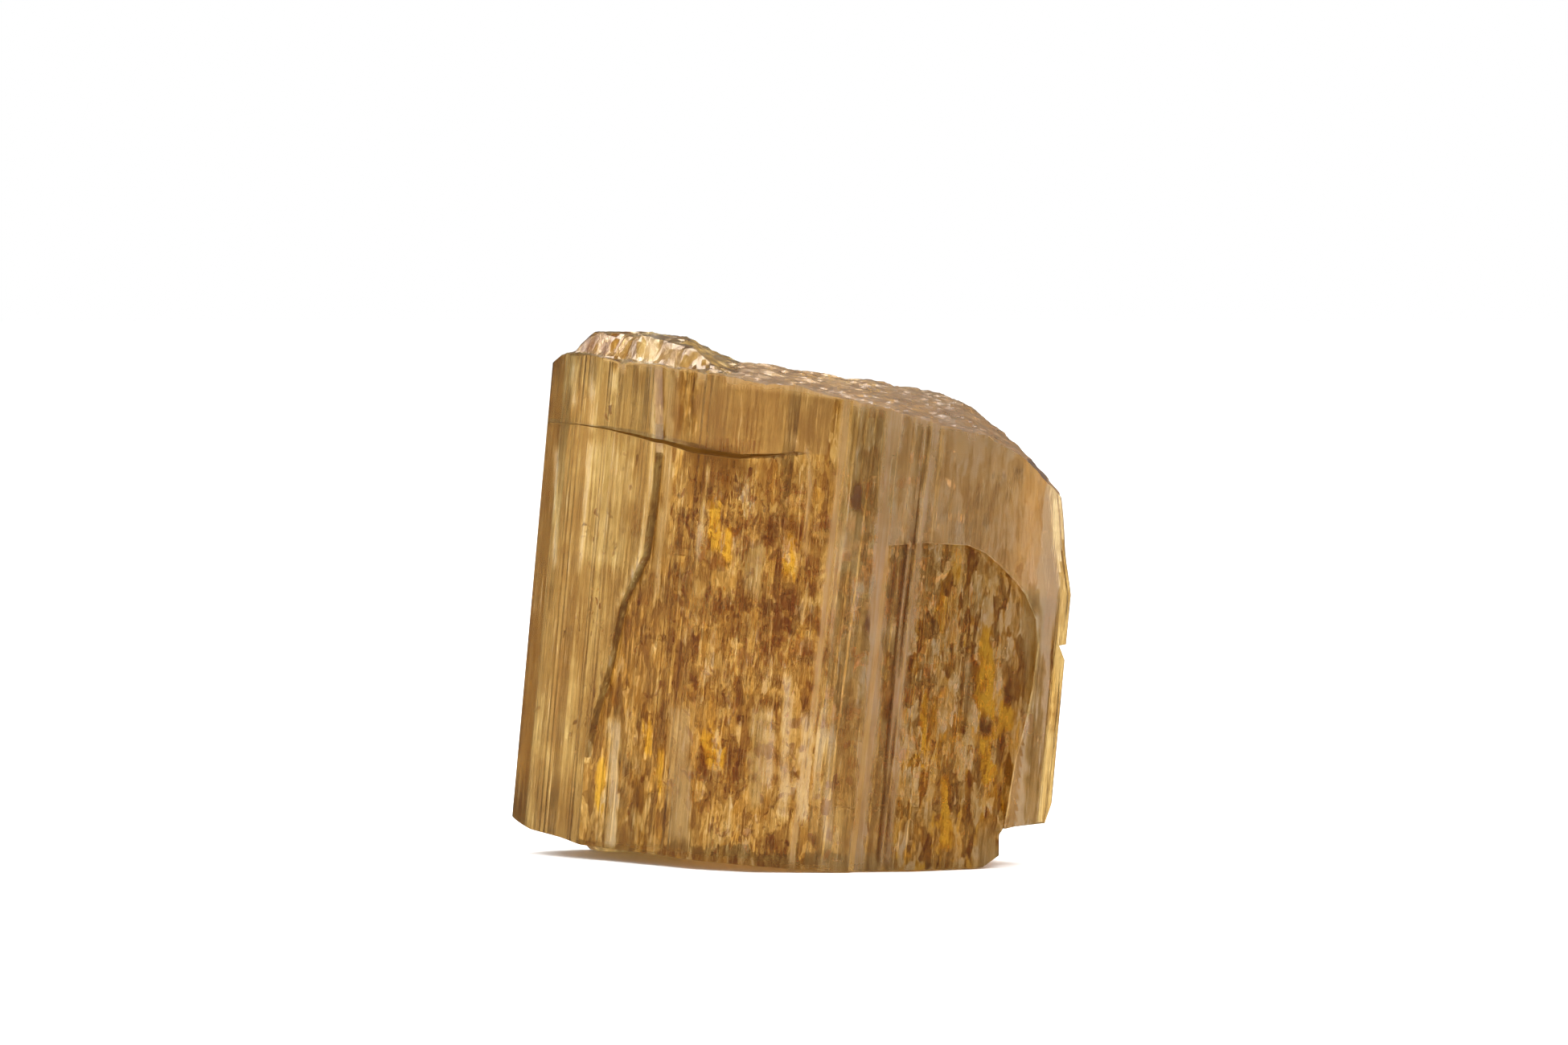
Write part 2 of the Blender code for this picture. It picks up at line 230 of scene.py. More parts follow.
def prismSections(ring, seed):
    # the outline of the prism at each level, with the striae swelling and fading along it
    coarse = {(round(place.x, 6), round(place.y, 6)): index for index, (place, _) in enumerate(ring)}
    fine = addStriae(ring, seed)
    count = round((core["head"] - core["foot"]) / core["levelStep"])
    sections = []
    for step in range(count + 1):
        w = core["foot"] + (core["head"] - core["foot"]) * step / count
        fades = [
            core["fade"][0] + core["fade"][1] * wander(index * core["fadeStep"], w, core["fadeRun"], seed)
            for index in range(len(ring))
        ]
        section = []
        index = -1
        for place, offset, lift, column in fine:
            key = (round(place.x, 6), round(place.y, 6))
            if lift.length == 0.0 and key in coarse:
                index = coarse[key]
                fade = fades[index]
            else:
                fade = 0.5 * (fades[index] + fades[(index + 1) % len(ring)])
            swell = stria["swell"]
            for amount, length, stride, turn in stria["swellWaves"]:
                swell += amount * noise.noise(Vector((column * stride, w / length, seed * turn)))
            spot = place + offset * fade + lift * max(swell, 0.0)
            section.append(settle(spot.x, spot.y, w))
        sections.append(section)
    return sections


def loft(name, sections):
    # a closed skin over loops of equal length
    bm = bmesh.new()
    column = bm.verts.layers.int.new("column")
    ring = [bm.verts.new(point) for point in sections[0]]
    for index, vert in enumerate(ring):
        vert[column] = index
    edges = list(bm.faces.new(ring).edges)
    for section in sections[1:]:
        raised = bmesh.ops.extrude_edge_only(bm, edges=edges)["geom"]
        verts = {part for part in raised if isinstance(part, bmesh.types.BMVert)}
        for vert in verts:
            vert.co = section[vert[column]]
        edges = [
            part for part in raised
            if isinstance(part, bmesh.types.BMEdge) and all(vert in verts for vert in part.verts)
        ]
    bmesh.ops.contextual_create(bm, geom=edges)
    return toolObject(name, bm)


def striatedPrism(name, sides, seed):
    ring = striatedRing(sides, random.Random(seed))
    return loft(name, prismSections(ring, seed))


def profileBlock(name, profile, nearV, farV):
    return loft(name, [[(u, v, w) for u, w in profile] for v in (nearV, farV)])


def useTool(target, tool, operation):
    cut = target.modifiers.new(tool.name, "BOOLEAN")
    cut.operation = operation
    cut.solver = "EXACT"
    cut.object = tool


def bake(target):
    # turns the modifiers into plain mesh and removes the tools that made them
    tools = [cut.object for cut in target.modifiers]
    solid = target.evaluated_get(bpy.context.evaluated_depsgraph_get())
    mesh = bpy.data.meshes.new_from_object(solid)
    target.modifiers.clear()
    target.data = mesh
    for tool in tools:
        bpy.data.objects.remove(tool)


# Growth layers that stand proud of the core. The left one ends at a riser, the right one at an
# arch over the dark recess, and the back one inside a rim.
layers = {
    "left": {
        "seed": 23,
        "sides": (
            ((-7.62, 3.66), "lBackLeft", "bLeft", 0.42, 1.0),
            ((-8.92, 2.25), "lFrontLeft", "mFrontLeft", 0.50, 0.7),
            ((-4.60, -2.50), None, None, 0.0, 0.0),
            ((-4.00, -1.50), None, None, 0.0, 0.0),
            ((-6.80, 2.60), None, None, 0.0, 0.0),
        ),
        "riser": (
            (-1.7, -6.70), (0.5, -6.70), (2.6, -6.75), (4.1, -6.57), (5.4, -6.30), (7.7, -6.00),
            (9.2, -5.45), (10.5, -5.38), (12.5, -5.34), (15.0, -5.58), (17.5, -5.70),
        ),
    },
    "right": {
        "seed": 37,
        "sides": (
            ((1.60, -4.60), None, None, 0.0, 0.0),
            ((1.85, -4.99), "mFrontLeft", "mFrontRight", 0.40, 0.5),
            ((3.95, -4.93), "mFrontRight", "lFrontRight", 0.48, 0.6),
            ((8.00, -2.93), "bRight", "lBackRight", 0.45, 1.0),
            ((7.62, -0.80), None, None, 0.0, 0.0),
            ((6.60, -1.20), None, None, 0.0, 0.0),
            ((6.00, -2.60), None, None, 0.0, 0.0),
            ((3.40, -4.10), None, None, 0.0, 0.0),
        ),
        "arch": (
            (1.00, 10.25), (1.95, 10.38), (3.30, 10.60), (4.60, 10.62), (5.20, 10.40), (5.60, 10.10),
            (6.20, 9.60), (6.56, 9.20), (6.96, 8.46), (7.10, 7.70), (7.07, 6.40), (6.94, 5.20),
            (6.72, 3.90), (6.58, 2.10), (6.45, -1.70),
        ),
    },
    "back": {
        "seed": 41,
        "sides": (
            ((5.30, 1.42), "lBackRight", "mBackRight", 0.66, 0.8),
            ((0.95, 5.80), "mBackRight", "mBackLeft", 0.60, 0.8),
            ((-4.40, 4.48), None, None, 0.0, 0.0),
            ((-3.60, 3.20), None, None, 0.0, 0.0),
            ((0.60, 4.30), None, None, 0.0, 0.0),
            ((4.40, 0.60), None, None, 0.0, 0.0),
        ),
        "rim": (
            (-3.9, 3.1), (-3.3, 6.4), (-2.1, 8.3), (-0.4, 9.1), (1.6, 9.6), (3.0, 11.2), (4.1, 12.6),
            (4.9, 13.1), (4.6, 7.2), (4.95, 4.0), (4.1, 2.2), (2.2, 1.7), (-1.0, 1.4), (-2.9, 1.9),
        ),
    },
}
reach = {"front": -7.0, "middle": 0.4, "back": 8.0, "right": 9.6, "clearance": 1.5}


def leftKeep():
    sides = layers["left"]["sides"]
    (u0, v0), (u1, v1) = sides[1][0], sides[2][0]
    turn = math.radians(faceTurn["mFrontRight"])
    riser = Vector((math.cos(turn), math.sin(turn)))
    sections = []
    for w, u in layers["left"]["riser"]:
        foot = Vector((u, v0 + (v1 - v0) * (u - u0) / (u1 - u0)))
        far = foot + riser * reach["clearance"]
        near = foot - riser * reach["back"]
        sections.append(((near.x, near.y, w), (far.x, far.y, w), (far.x, reach["back"], w),
                         (near.x, reach["back"], w)))
    return loft("leftKeep", sections)


def rightKeep():
    arch = layers["right"]["arch"]
    rest = ((reach["right"], core["foot"]), (reach["right"], core["head"]), (arch[0][0], core["head"]))
    return profileBlock("rightKeep", arch + rest, reach["front"], reach["middle"])


def backKeep():
    return profileBlock("backKeep", layers["back"]["rim"], reach["middle"], reach["back"])


def growthLayer(name, keep):
    slab = striatedPrism(name + "Layer", layers[name]["sides"], layers[name]["seed"])
    useTool(slab, keep, "INTERSECT")
    bake(slab)
    return slab


# The two breaks across the prism
topBreak = {
    "front": (
        (-9.4, 14.30), (-8.95, 14.85), (-8.60, 15.20), (-6.5, 15.18), (-0.7, 15.02), (1.0, 14.80),
        (2.4, 14.58), (3.3, 14.28), (4.9, 14.05), (6.0, 13.52), (7.2, 12.50), (8.4, 11.10),
    ),
    "back": (
        (-9.4, 14.30), (-8.95, 14.85), (-8.60, 15.22), (-2.3, 15.36), (0.5, 15.12), (4.2, 14.98),
        (5.2, 14.34), (6.5, 13.38), (7.35, 12.52), (8.4, 11.10),
    ),
    "frontPlane": -5.0,
    "backPlane": 3.5,
    "hackle": 0.10,
    "hackleWaves": ((1.0, 0.9, 1.0), (0.6, 0.45, 2.0)),
    "grit": 0.045,
    "gritWaves": ((1.0, 0.2, 3.0), (0.7, 0.11, 6.0)),
    "lumpRise": 0.74,
    "lumpInset": (0.42, 0.78),
    "lumpWaves": ((0.10, 1.1, 5.0), (0.12, 0.4, 8.0)),
    "lumpStart": (-8.45, -7.55),
    "lumpEnd": (-5.0, -3.1),
    "endWaves": ((0.3, 1.4, 9.0),),
    "cell": 0.14,
}
baseBreak = {
    "front": (
        (-9.6, 1.20), (-8.95, 0.52), (-8.40, 0.24), (-7.4, 0.12), (-6.6, -0.04), (-3.0, 0.02),
        (0.0, 0.08), (2.2, 0.12), (5.2, 0.30), (8.4, 0.50),
    ),
    "fall": 0.030,
    "waves": ((0.03, 1.6, 7.0),),
    "footPlace": (-5.55, 3.00),
    "footRadius": 1.25,
    "footEdge": (0.4, 1.0),
    "footWaves": ((0.35, 0.8, 4.0),),
    "footDepth": 0.52,
    "cell": 0.25,
}
breakBlockSize = {"width": 19.4, "depth": 13.2, "middle": (-0.35, 0.35)}


def depthBehindLeftFaces(u, v):
    corner = Vector(core["sides"][0][0])
    along = (Vector(core["sides"][1][0]) - corner).normalized()
    inward = Vector((-along.y, along.x))
    return (Vector((u, v)) - corner).dot(inward)


def topHeight(u, v):
    t = topBreak
    share = min(max((v - t["frontPlane"]) / (t["backPlane"] - t["frontPlane"]), 0.0), 1.0)
    front = interpolate(t["front"], u)
    w = front + (interpolate(t["back"], u) - front) * share
    behind = smoothBetween(*t["lumpInset"], depthBehindLeftFaces(u, v) + wanders(t["lumpWaves"], u, v))
    starting = smoothBetween(*t["lumpStart"], u)
    ending = 1.0 - smoothBetween(*t["lumpEnd"], u + wanders(t["endWaves"], u, v))
    w += t["lumpRise"] * behind * starting * ending
    w += t["hackle"] * wanders(t["hackleWaves"], u, v)
    return w + t["grit"] * wanders(t["gritWaves"], u, v)


def baseHeight(u, v):
    b = baseBreak
    w = interpolate(b["front"], u) - b["fall"] * (v - topBreak["frontPlane"])
    away = (Vector((u, v)) - Vector(b["footPlace"])).length / b["footRadius"]
    away += wanders(b["footWaves"], u, v)
    w -= b["footDepth"] * (1.0 - smoothBetween(*b["footEdge"], away))
    return w + wanders(b["waves"], u, v)


def breakBlock(name, heightAt, farW, cell):
    size = breakBlockSize
    bm = bmesh.new()
    bmesh.ops.create_grid(
        bm, x_segments=round(size["width"] / cell), y_segments=round(size["depth"] / cell), size=0.5)
    for vert in bm.verts:
        u = size["middle"][0] + vert.co.x * size["width"]
        v = size["middle"][1] + vert.co.y * size["depth"]
        vert.co = (u, v, heightAt(u, v))
    rim = [edge for edge in bm.edges if edge.is_boundary]
    carried = bmesh.ops.extrude_edge_only(bm, edges=rim)["geom"]
    raised = {part for part in carried if isinstance(part, bmesh.types.BMVert)}
    for vert in raised:
        vert.co.z = farW
    lid = [part for part in carried
           if isinstance(part, bmesh.types.BMEdge) and all(vert in raised for vert in part.verts)]
    bmesh.ops.contextual_create(bm, geom=lid)
    return toolObject(name, bm)


# Smaller losses: the ledge at the lower right, a nick above it and the open crack at the upper left
ledge = {
    "profile": (
        (5.85, -2.7), (5.90, 0.45), (6.50, 0.95), (6.45, 1.60), (6.56, 1.80),
        (6.90, 1.90), (7.85, 2.06), (8.03, 2.75), (9.60, 3.00), (9.60, -2.7),
    ),
    "backV": 0.9,
}
nick = {"profile": ((7.79, 7.66), (8.60, 6.00), (8.60, 7.84))}
crack = {
    "path": (
        (-8.86, 12.95), (-7.90, 13.03), (-6.85, 13.02), (-5.80, 12.93),
        (-5.00, 12.83), (-4.24, 12.71), (-2.72, 12.71), (-1.60, 12.90), (-1.10, 13.04),
    ),
    "mouth": ((-8.8, 0.012), (-7.0, 0.04), (-5.2, 0.13), (-4.0, 0.24), (-2.6, 0.18), (-1.1, 0.03)),
    "depth": 2.6,
    "lead": 0.6,
    "taper": (-4.0, -1.1),
    "taperLoss": 0.7,
}


def crackWedge():
    side = (Vector(core["sides"][1][0]) - Vector(core["sides"][0][0])).normalized()
    inward = Vector((-side.y, side.x))
    surface = [place for place, *_ in core["sides"][:4]]
    sections = []
    for u, w in crack["path"]:
        taper = 1.0 - crack["taperLoss"] * smoothBetween(*crack["taper"], u)
        start = Vector((u, interpolate(surface, u)))
        mouth = start - inward * crack["lead"]
        tip = start + inward * crack["depth"] * taper
        half = 0.5 * interpolate(crack["mouth"], u)
        sections.append(((mouth.x, mouth.y, w - half), (tip.x, tip.y, w), (mouth.x, mouth.y, w + half)))
    return loft("crackWedge", sections)


topaz = {
    # tints of the light that passes the surface, from dark to pale, by their place on the ramp
    "tints": (
        (0.00, (0.115, 0.047, 0.006, 1.0)),
        (0.22, (0.170, 0.083, 0.016, 1.0)),
        (0.50, (0.345, 0.240, 0.078, 1.0)),
        (0.80, (0.700, 0.590, 0.290, 1.0)),
        (1.00, (0.960, 0.960, 0.780, 1.0)),
    ),
    "orange": (1.00, 0.60, 0.05, 1.0),    # filters the warm flecks
    # this pink is partly the stone's pinkish tan and partly a painted sheen of soft light that the striae
    # mirror
    "sheenPink": (0.88, 0.58, 0.285, 1.0),
    "absorbColor": (0.780, 0.657, 0.400, 1.0),
    "absorbDensity": 180.0,
    "clearness": 0.90,       # the rest of the light is scattered by the striae
    "ior": 1.62,
    "bumpDepth": 0.000006,
    "leastRough": 0.5,       # share of a finish's roughness that stays between the blotches
    # unevenness of the stone: its size in metres across, across and along the prism, and its detail
    "streaks": ((0.00016, 0.00016, 0.0042), 3.0),
    "fine": ((0.000055, 0.000055, 0.0016), 2.0),
    "blotches": ((0.00085, 0.00085, 0.0016), 4.0),
    "noiseRoughness": 0.6,
    "fineWeight": 0.70,      # beside the streaks
    "blotchWeight": 0.95,
    "waveMiddle": 1.32,
    "waveStrength": 0.80,
    "fleckSize": (0.00031, 0.00031, 0.00100),
    "fleckBend": 1.3,        # how fast the outlines of the flecks bend
    "fleckDetail": (2.0, 0.7),    # finer flecks inside them, and how much those count
    "fleckStrength": 1.6,
    "fleckiest": 0.45,
    "fleckWarmth": (1.2, 0.1),
    "leastSheen": 0.4,        # share of the pink that stays between the bright fine streaks
    "highlightFrom": 0.62,
    "highlightStrength": 3.5,
}


def alongPrism(nodes, links, size):
    # object coordinates turned to the leaning crystal and counted in pieces of the given size
    place = nodes.new("ShaderNodeTexCoord")
    turned = nodes.new("ShaderNodeMapping")
    turned.vector_type = "TEXTURE"
    turned.inputs["Rotation"].default_value = (0.0, placing["lean"], 0.0)
    turned.inputs["Scale"].default_value = size
    links.new(place.outputs["Object"], turned.inputs["Vector"])
    return turned.outputs["Vector"]


def noiseOf(nodes, links, size, detail):
    noiseNode = nodes.new("ShaderNodeTexNoise")
    noiseNode.inputs["Scale"].default_value = 1.0
    noiseNode.inputs["Detail"].default_value = detail
    noiseNode.inputs["Roughness"].default_value = topaz["noiseRoughness"]
    links.new(alongPrism(nodes, links, size), noiseNode.inputs["Vector"])
    return noiseNode.outputs["Fac"]


def flecksOf(nodes, links, size):
    # a random value for each angular fleck, with a second one beside it
    bent = nodes.new("ShaderNodeTexNoise")
    bent.inputs["Scale"].default_value = topaz["fleckBend"]
    links.new(alongPrism(nodes, links, size), bent.inputs["Vector"])
    place = nodes.new("ShaderNodeVectorMath")
    links.new(alongPrism(nodes, links, size), place.inputs[0])
    links.new(bent.outputs["Color"], place.inputs[1])
    cells = nodes.new("ShaderNodeTexVoronoi")
    cells.inputs["Scale"].default_value = 1.0
    detail, roughness = topaz["fleckDetail"]
    cells.inputs["Detail"].default_value = detail
    cells.inputs["Roughness"].default_value = roughness
    links.new(place.outputs["Vector"], cells.inputs["Vector"])
    split = nodes.new("ShaderNodeSeparateColor")
    links.new(cells.outputs["Color"], split.inputs["Color"])
    return split.outputs["Red"], split.outputs["Green"]


def mathOf(nodes, links, operation, first, second, clamp=False):
    step = nodes.new("ShaderNodeMath")
    step.operation = operation
    step.use_clamp = clamp
    for socket, value in zip(step.inputs, (first, second)):
        if isinstance(value, (int, float)):
            socket.default_value = value
        else:
            links.new(value, socket)
    return step.outputs["Value"]


def mixOf(nodes, links, share, first, second, blending="MIX"):
    blend = nodes.new("ShaderNodeMix")
    blend.data_type = "RGBA"
    blend.blend_type = blending
    links.new(share, blend.inputs["Factor"])
    for socket, value in ((blend.inputs["A"], first), (blend.inputs["B"], second)):
        if isinstance(value, tuple):
            socket.default_value = value
        else:
            links.new(value, socket)
    return blend.outputs["Result"]


def unevenTint(nodes, links, tint, streaks, fine, blotches):
    # a finish's own tint with the streaks and blotches of the stone laid over it
    wave = mathOf(nodes, links, "MULTIPLY", fine, topaz["fineWeight"])
    wave = mathOf(nodes, links, "ADD", streaks, wave)
    patches = mathOf(nodes, links, "MULTIPLY", blotches, topaz["blotchWeight"])
    wave = mathOf(nodes, links, "ADD", wave, patches)
    wave = mathOf(nodes, links, "SUBTRACT", wave, topaz["waveMiddle"])
    wave = mathOf(nodes, links, "MULTIPLY", wave, topaz["waveStrength"])
    wave = mathOf(nodes, links, "ADD", tint, wave)
    # painted highlights: the brightest of the fine striae stand out as thin pale lines, as if they caught
    # the light
    highlightLines = mathOf(nodes, links, "SUBTRACT", fine, topaz["highlightFrom"])
    highlightLines = mathOf(nodes, links, "MAXIMUM", highlightLines, 0.0)
    highlightLines = mathOf(nodes, links, "MULTIPLY", highlightLines, topaz["highlightStrength"])
    return mathOf(nodes, links, "ADD", wave, highlightLines)


def topazMaterial():
    material = bpy.data.materials.new("goldenTopaz")
    material.use_nodes = True
    nodes = material.node_tree.nodes
    links = material.node_tree.links
    shader = nodes["Principled BSDF"]
    shader.inputs["IOR"].default_value = topaz["ior"]
    shader.inputs["Transmission Weight"].default_value = topaz["clearness"]
    inside = nodes.new("ShaderNodeVolumeAbsorption")
    inside.inputs["Color"].default_value = topaz["absorbColor"]
    inside.inputs["Density"].default_value = topaz["absorbDensity"]
    links.new(inside.outputs["Volume"], nodes["Material Output"].inputs["Volume"])

    zones = nodes.new("ShaderNodeAttribute")
    zones.attribute_name = "zones"
    parts = nodes.new("ShaderNodeSeparateColor")
    links.new(zones.outputs["Color"], parts.inputs["Color"])
    rough, tint, warm = parts.outputs["Red"], parts.outputs["Green"], parts.outputs["Blue"]

    streaks = noiseOf(nodes, links, *topaz["streaks"])
    fine = noiseOf(nodes, links, *topaz["fine"])
    blotches = noiseOf(nodes, links, *topaz["blotches"])
    uneven = unevenTint(nodes, links, tint, streaks, fine, blotches)
    fleck, otherFleck = flecksOf(nodes, links, topaz["fleckSize"])
    flecky = mathOf(nodes, links, "MINIMUM", warm, topaz["fleckiest"])
    fleck = mathOf(nodes, links, "SUBTRACT", fleck, 0.5)
    fleck = mathOf(nodes, links, "MULTIPLY", fleck, flecky)
    fleck = mathOf(nodes, links, "MULTIPLY", fleck, topaz["fleckStrength"])
    shade = mathOf(nodes, links, "ADD", uneven, fleck, True)
    ramp = nodes.new("ShaderNodeValToRGB")
    stops = ramp.color_ramp.elements
    for place, _ in topaz["tints"][1:-1]:
        stops.new(place)
    for stop, (_, color) in zip(stops, topaz["tints"]):
        stop.color = color
    links.new(shade, ramp.inputs["Fac"])
    varied, even = topaz["fleckWarmth"]
    warmth = mathOf(nodes, links, "MULTIPLY", otherFleck, varied)
    warmth = mathOf(nodes, links, "ADD", warmth, even)
    warmth = mathOf(nodes, links, "MULTIPLY", warm, warmth, True)
    tinted = mixOf(nodes, links, warmth, ramp.outputs["Color"], topaz["orange"], "MULTIPLY")
    # painted sheen: pink laid along the fine striae, partly the stone's pinkish tan and partly soft light
    # that they mirror
    pinkSheen = mathOf(nodes, links, "ADD", fine, topaz["leastSheen"])
    pinkSheen = mathOf(nodes, links, "MULTIPLY", zones.outputs["Alpha"], pinkSheen, True)
    links.new(mixOf(nodes, links, pinkSheen, tinted, topaz["sheenPink"]), shader.inputs["Base Color"])

    gloss = mathOf(nodes, links, "ADD", blotches, topaz["leastRough"])
    gloss = mathOf(nodes, links, "MULTIPLY", rough, gloss)
    links.new(gloss, shader.inputs["Roughness"])
    bump = nodes.new("ShaderNodeBump")
    bump.inputs["Distance"].default_value = topaz["bumpDepth"]
    links.new(mathOf(nodes, links, "ADD", streaks, fine), bump.inputs["Height"])
    links.new(bump.outputs["Normal"], shader.inputs["Normal"])
    return material


# How each part of the surface is finished, with painted shade, highlights and glints among the finishes:
# roughness, tint from dark to pale, warmth and pinkness, the pink partly a painted sheen. The warmth also
# sets how far the flecks differ.
finishesAndPaintedLight = {
    "core": (0.03, 0.13, 0.35, 0.05),
    "middle": (0.05, 0.44, 0.20, 0.16),
    "leftLayer": (0.08, 0.41, 0.0, 0.10),
    "rightLayer": (0.10, 0.62, 0.24, 0.50),
    "rightRim": (0.10, 1.10, 0.0, 0.30),
    "rightEdge": (0.10, 0.55, 0.0, 0.20),
    "recess": (0.04, 0.29, 0.44, 0.0),
    "block": (0.10, 0.17, 0.12, 0.20),
    "bevel": (0.32, 0.50, 0.14, 0.60),
    "lump": (0.20, 0.50, 0.10, 0.0),
    "lumpLeft": (0.20, 0.16, 0.30, 0.0),
    "back": (0.03, 0.20, 0.10, 0.0),
    # painted shade: the walls of the open crack are darkened
    "crackShade": (0.50, 0.02, 0.0, 0.0),
    # painted highlight along the top front edge
    "topEdgeHighlight": (0.40, 0.85, 0.0, 0.7),
    # painted highlight: pale pink lines where the ridges catch soft light
    "ridge": (0.35, 0.78, 0.0, 0.55),
    "paleBand": (0.22, 0.68, 0.0, 0.25),
    # painted highlights: pale streaks where the surface catches the light
    "highlightStreak": (0.12, 0.90, 0.06, 0.15),
    "shadow": (0.05, -0.12, 0.0, 0.0),
    "dark": (0.05, -0.05, 0.30, 0.0),
    "brown": (0.05, 0.08, 0.35, 0.0),
    # painted golden glints, standing in for light thrown back by the fractures
    "goldGlint": (0.03, 0.74, 0.85, 0.0),
    "orangeGlint": (0.03, 0.70, 1.7, 0.0),
    "khaki": (0.20, 0.62, 0.05, 0.0),
    "speck": (0.60, -0.60, 0.0, 0.0),
    "fracture": (1.0, 1.0, 1.0, 1.0),
}

# Marks along the front faces, the stone's own tones beside painted shade, highlights and glints: places
# (w, u) from foot to head, half the width and the finish
marks = (
    # beside the riser of the left layer
    (((7.2, -6.02), (7.8, -5.86), (9.3, -5.30), (11.4, -5.22), (12.9, -5.24), (15.1, -5.46)),
     0.09, "shadow"),
    (((7.4, -6.20), (9.2, -5.55), (11.4, -5.46), (12.9, -5.48), (15.1, -5.72)), 0.05, "highlightStreak"),
    (((9.0, -5.04), (10.8, -4.90), (12.9, -5.00), (15.1, -5.20)), 0.12, "paleBand"),
    (((4.0, -6.10), (6.3, -6.08)), 0.14, "brown"),
    (((0.1, -5.66), (3.8, -5.88)), 0.14, "highlightStreak"),
    (((1.1, -6.12), (2.3, -6.20)), 0.10, "goldGlint"),
    (((0.1, -4.71), (4.5, -5.11)), 0.22, "brown"),
    (((13.2, -4.39), (15.1, -4.55)), 0.26, "brown"),
    # bright spots of the lump
    (((15.3, -5.74), (16.2, -5.80)), 0.16, "highlightStreak"),
    (((15.2, -6.05), (15.6, -6.05)), 0.12, "highlightStreak"),
    (((15.2, -6.90), (16.2, -6.95)), 0.14, "brown"),
    # highlights of the left layer
    (((13.7, -8.12), (14.9, -8.22)), 0.09, "highlightStreak"),
    (((13.1, -7.48), (14.5, -7.59)), 0.07, "highlightStreak"),
    (((14.3, -6.87), (14.8, -6.91)), 0.10, "highlightStreak"),
    (((8.7, -7.45), (10.2, -7.46), (12.3, -7.44)), 0.06, "highlightStreak"),
    (((8.9, -6.60), (10.4, -6.60), (12.5, -6.70)), 0.62, "khaki"),
    (((8.6, -8.27), (12.1, -8.55)), 0.05, "highlightStreak"),
    # the middle of the front
    (((9.7, -3.76), (12.3, -3.67)), 0.03, "highlightStreak"),
    (((11.5, -3.90), (12.7, -3.96)), 0.20, "dark"),
    (((11.5, -3.03), (12.7, -3.14)), 0.16, "dark"),
    (((12.5, -3.40), (12.75, -3.40)), 0.95, "shadow"),
    (((9.9, -3.25), (11.2, -3.38)), 0.17, "goldGlint"),
    (((9.5, -2.80), (10.2, -2.86)), 0.08, "goldGlint"),
    (((10.2, -1.65), (10.7, -1.70)), 0.25, "dark"),
    (((10.2, -0.87), (11.0, -0.95)), 0.16, "dark"),
    (((9.4, -0.89), (10.2, -0.93)), 0.16, "goldGlint"),
    (((8.7, -1.98), (9.9, -2.00)), 0.25, "khaki"),
    # the ridge marks are painted highlights along the ridges
    (((9.9, -0.43), (12.1, -0.45), (13.0, -0.60), (13.4, -1.07)), 0.03, "ridge"),
    (((0.3, 0.04), (4.7, 0.28), (9.7, 0.38), (14.8, 0.46)), 0.09, "ridge"),
    (((7.2, 0.62), (9.7, 0.60), (13.9, 0.56)), 0.03, "ridge"),
    (((9.6, 0.97), (11.6, 0.90)), 0.32, "khaki"),
    (((0.5, 2.02), (4.8, 2.10), (8.9, 2.01), (11.4, 1.98), (14.6, 2.00)), 0.22, "ridge"),
    (((11.6, 2.12), (12.9, 2.12)), 0.06, "highlightStreak"),
    (((5.2, 2.55), (7.1, 2.42)), 0.09, "brown"),
    (((0.6, 2.72), (8.3, 2.66), (14.4, 2.82)), 0.025, "shadow"),
    (((0.6, 2.84), (8.3, 2.76), (14.4, 2.94)), 0.03, "ridge"),
    (((0.6, 2.93), (8.3, 2.85), (14.4, 3.06)), 0.02, "shadow"),
    (((0.6, 3.04), (5.7, 2.97), (10.2, 3.09), (14.2, 3.33)), 0.07, "ridge"),
    # the lower middle
    (((0.6, -3.52), (4.4, -3.86)), 0.30, "paleBand"),
    (((3.1, -2.70), (3.9, -2.76)), 0.32, "goldGlint"),
    (((2.1, -1.24), (4.8, -1.39)), 0.26, "khaki"),
    (((1.7, -0.40), (6.0, -0.57)), 0.14, "highlightStreak"),
    (((2.6, -0.90), (4.9, -1.05)), 0.12, "highlightStreak"),
    (((1.8, 0.24), (4.8, 0.10)), 0.16, "highlightStreak"),
    (((2.4, 0.60), (4.6, 0.55)), 0.11, "highlightStreak"),
    (((0.8, 1.09), (4.6, 0.88)), 0.14, "highlightStreak"),
    (((3.2, -4.75), (3.9, -4.80)), 0.09, "goldGlint"),
    (((2.0, -4.30), (3.2, -4.36)), 0.06, "goldGlint"),
    # the recess and the rim at its right
    (((5.2, 5.62), (7.7, 5.48)), 0.18, "orangeGlint"),
    (((3.6, 5.83), (4.6, 5.75)), 0.16, "orangeGlint"),
    (((5.2, 6.39), (5.5, 6.37)), 0.14, "orangeGlint"),
    (((1.4, 4.77), (3.1, 4.61)), 0.09, "orangeGlint"),
    (((4.0, 3.82), (6.0, 3.65)), 0.07, "goldGlint"),
    (((5.5, 5.07), (7.0, 4.93)), 0.07, "khaki"),
    (((4.8, 5.69), (5.2, 5.65)), 0.16, "dark"),
    (((6.1, 6.31), (6.7, 6.25)), 0.12, "dark"),
    (((2.1, 7.45), (5.2, 7.25), (9.2, 6.75)), 0.25, "khaki"),
    (((8.1, 7.08), (8.6, 7.02)), 0.10, "highlightStreak"),
    (((5.3, 7.80), (8.0, 7.55)), 0.05, "brown"),
    (((0.5, 6.21), (1.6, 6.12)), 0.28, "khaki"),
    # dark grains
    (((11.75, 0.99), (11.95, 1.03)), 0.09, "speck"),
    (((7.8, 1.70), (8.0, 1.72)), 0.05, "speck"),
)
markFade = {"across": 0.07, "overlap": 0.3, "along": 0.35, "waves": ((0.8, 0.4, 11.0),)}
